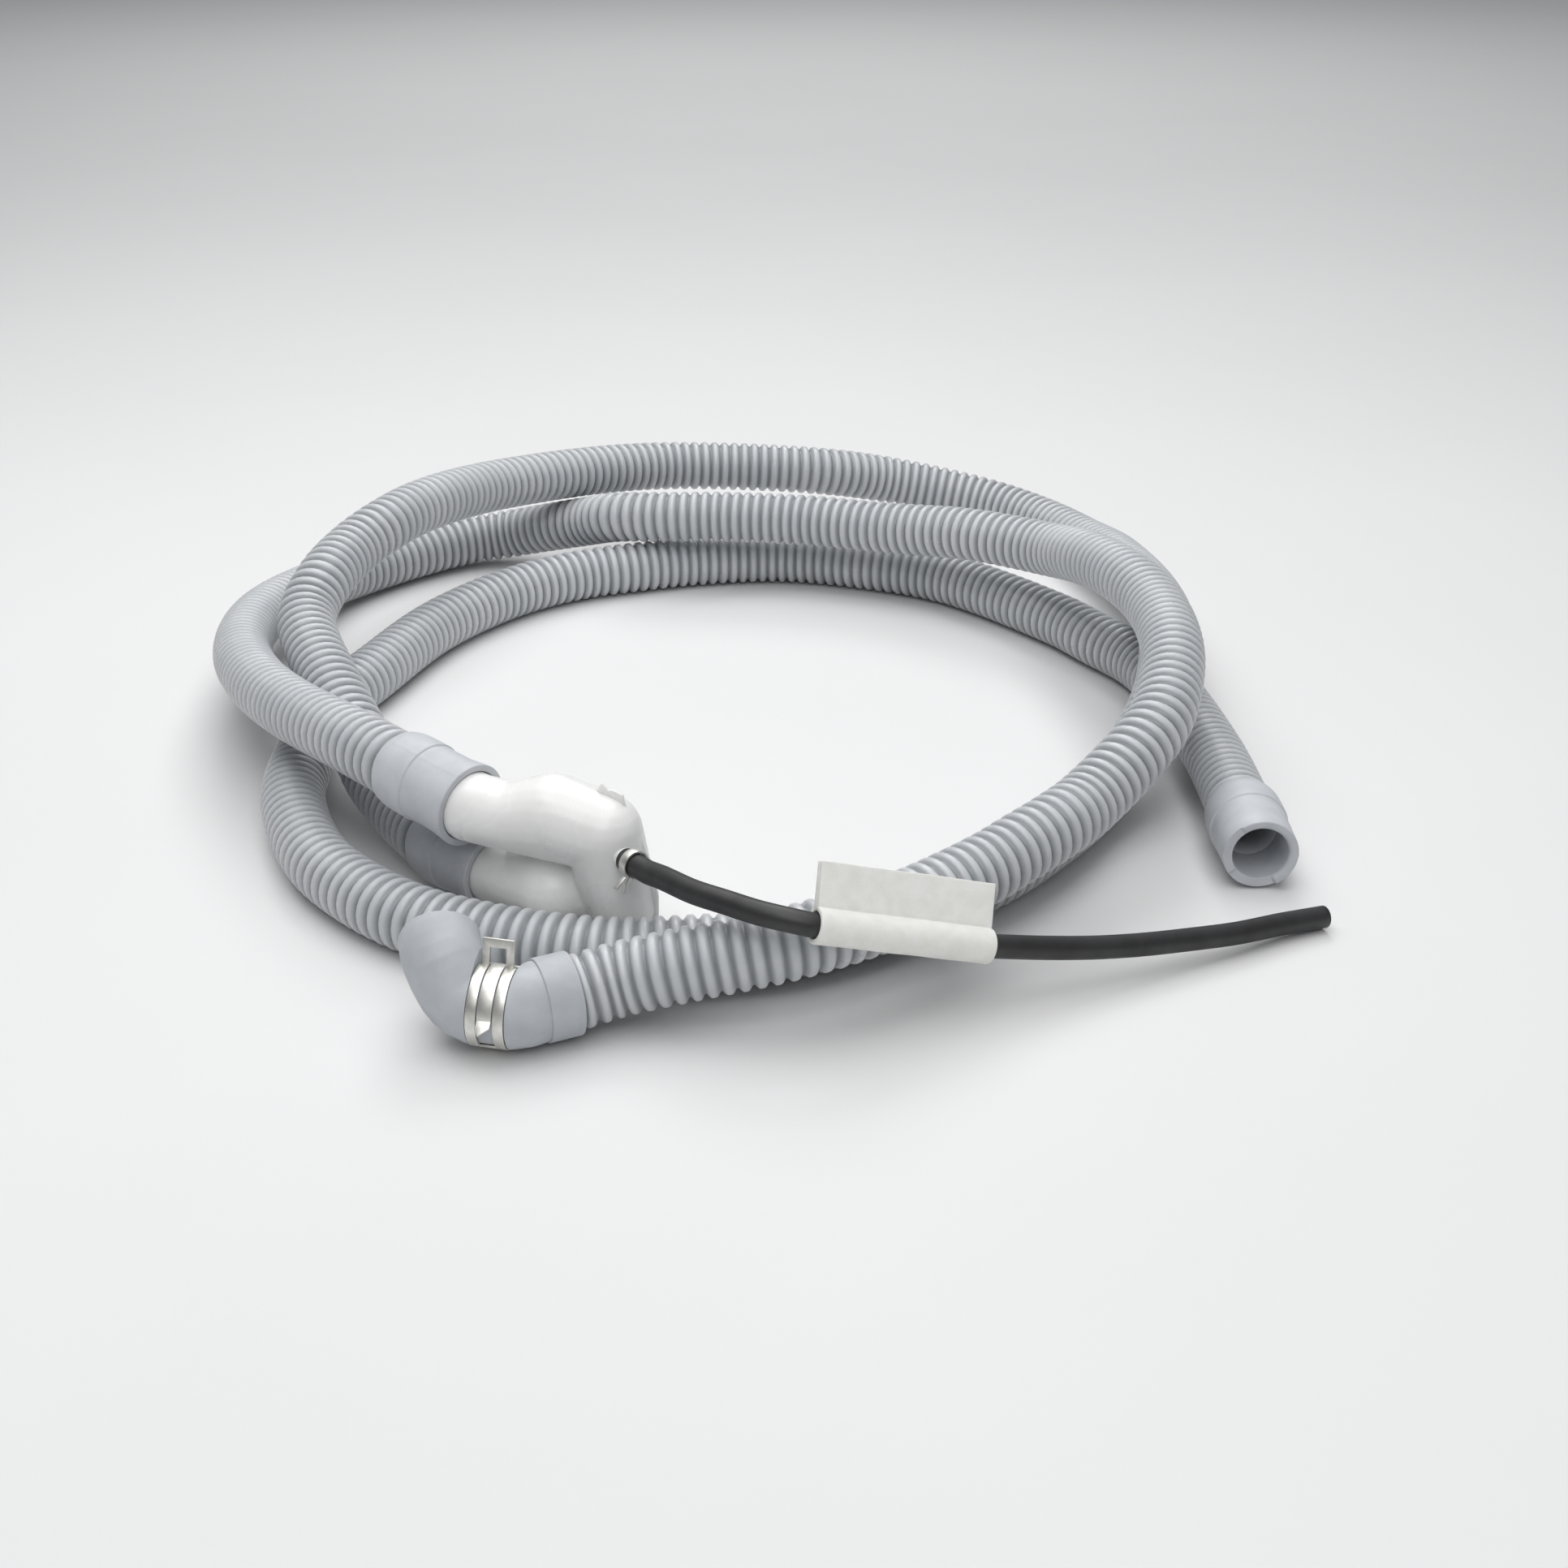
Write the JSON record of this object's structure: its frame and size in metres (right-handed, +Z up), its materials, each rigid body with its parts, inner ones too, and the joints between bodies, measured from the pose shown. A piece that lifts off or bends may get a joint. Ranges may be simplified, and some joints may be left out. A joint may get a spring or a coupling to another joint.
{
  "type": "washing machine drain hose assembly",
  "caption": "Coiled corrugated drain hose with rubber end cuff, clamped rubber elbow, white air break chamber and thin black vent tube with a felt wrap.",
  "frame": {"origin": "on the floor, under the middle of the coil's bounding box", "axes": "+Z up; +Y away from the side where the elbow, the air break and the vent tube lie; +X towards the outlet cuff's side"},
  "size_m": [0.463, 0.5628, 0.0793],
  "materials": {
    "hose_plastic": "satin, corrugated",
    "cuff_rubber": "matte moulded",
    "elbow_rubber": "matte moulded",
    "blown_plastic": "satin, blow moulded",
    "black_rubber": "satin extruded",
    "felt": "short fibre felt",
    "spring_steel": "zinc plated strip"
  },
  "bodies": {
    "root": {"drain_hose_long": "hose_plastic", "drain_hose_short": "hose_plastic", "outlet_cuff": "cuff_rubber", "chamber_cuff_upper": "cuff_rubber", "chamber_cuff_lower": "cuff_rubber", "air_break_chamber": "blown_plastic", "vent_tube": "black_rubber", "vent_tube_clip": "spring_steel", "felt_pad": "felt", "machine_elbow": "elbow_rubber", "elbow_clamp": "spring_steel"}
  },
  "joints": []
}
